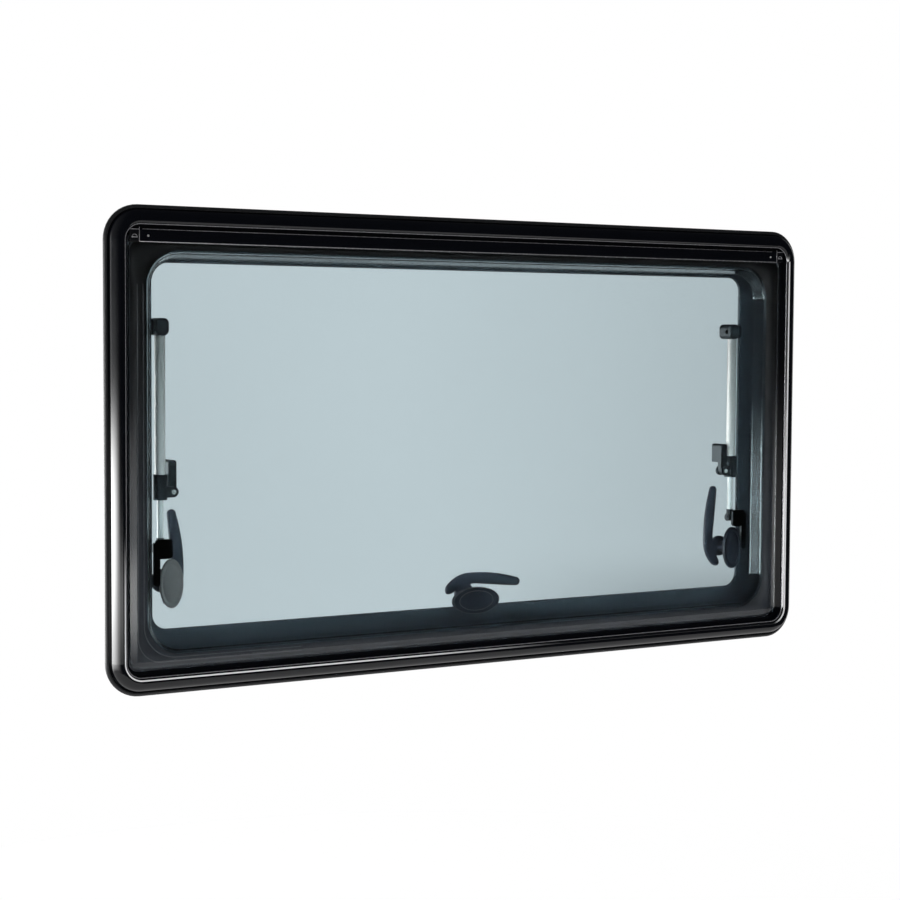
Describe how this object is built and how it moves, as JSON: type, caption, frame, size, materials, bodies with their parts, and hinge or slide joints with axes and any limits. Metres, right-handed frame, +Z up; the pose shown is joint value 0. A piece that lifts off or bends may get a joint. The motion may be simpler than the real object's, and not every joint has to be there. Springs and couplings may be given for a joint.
{
  "type": "caravan window",
  "caption": "Top-hung caravan window with a black rounded frame, tinted double acrylic sash, hinge profile, telescopic stays and turn latches on the inside.",
  "frame": {"origin": "on the wall's outer face (back face of the rim flange), middle of the bottom flange strip", "axes": "+X to the right seen from outside, +Y into the caravan, +Z up"},
  "size_m": [0.79, 0.0561, 0.44],
  "materials": {
    "frame_black": "black satin gloss coat",
    "rubber_grey": "matte grey rubber",
    "rubber_black": "matte black rubber",
    "tinted_acrylic": "clear polished acrylic, blue-grey tint",
    "trim_plastic": "fine grained black",
    "fitting_plastic": "satin black moulding",
    "tube_aluminium": "satin anodised",
    "rod_steel": "bright ground",
    "pin_steel": "satin"
  },
  "bodies": {
    "window": {"outer_frame": "frame_black", "wall_seal": "rubber_grey", "sash_seal": "rubber_black", "outer_pane": "tinted_acrylic", "inner_pane": "tinted_acrylic", "hinge_rail": "frame_black", "sash_hinge_strip": "frame_black", "interior_frame": "trim_plastic", "hinge_end_cap_left": "fitting_plastic", "stay_bracket_left": "fitting_plastic", "stay_end_cap_left": "fitting_plastic", "stay_tube_left": "tube_aluminium", "stay_clamp_left": "fitting_plastic", "clamp_pin_left": "pin_steel", "stay_rod_left": "rod_steel", "rod_end_left": "fitting_plastic", "stay_foot_left": "fitting_plastic", "hinge_end_cap_right": "fitting_plastic", "stay_bracket_right": "fitting_plastic", "stay_end_cap_right": "fitting_plastic", "stay_tube_right": "tube_aluminium", "stay_clamp_right": "fitting_plastic", "clamp_pin_right": "pin_steel", "stay_rod_right": "rod_steel", "rod_end_right": "fitting_plastic", "stay_foot_right": "fitting_plastic", "latch_base_bottom": "fitting_plastic", "latch_spindle_bottom": "pin_steel", "latch_base_left": "fitting_plastic", "latch_spindle_left": "pin_steel", "latch_base_right": "fitting_plastic", "latch_spindle_right": "pin_steel"},
    "handle_bottom": {"latch_handle_bottom": "fitting_plastic"},
    "handle_left": {"latch_handle_left": "fitting_plastic"},
    "handle_right": {"latch_handle_right": "fitting_plastic"},
    "clamp_lever_left_body": {"clamp_lever_left": "fitting_plastic"},
    "clamp_lever_right_body": {"clamp_lever_right": "fitting_plastic"}
  },
  "joints": [
    {"name": "latch_turn_bottom", "type": "hinge", "parent": "window", "child": "handle_bottom", "pos_m": [0, 0.0385, 0.0555], "axis": [0, -1, 0], "range_deg": [0, 90]},
    {"name": "latch_turn_left", "type": "hinge", "parent": "window", "child": "handle_left", "pos_m": [-0.3255, 0.0385, 0.088], "axis": [0, 1, 0], "range_deg": [0, 90]},
    {"name": "latch_turn_right", "type": "hinge", "parent": "window", "child": "handle_right", "pos_m": [0.3255, 0.0385, 0.088], "axis": [0, -1, 0], "range_deg": [0, 90]},
    {"name": "clamp_flip_left", "type": "hinge", "parent": "window", "child": "clamp_lever_left_body", "pos_m": [-0.3205, 0.0278, 0.17122], "axis": [0, 1, 0], "range_deg": [0, 90]},
    {"name": "clamp_flip_right", "type": "hinge", "parent": "window", "child": "clamp_lever_right_body", "pos_m": [0.3205, 0.0278, 0.17122], "axis": [0, -1, 0], "range_deg": [0, 90]}
  ]
}
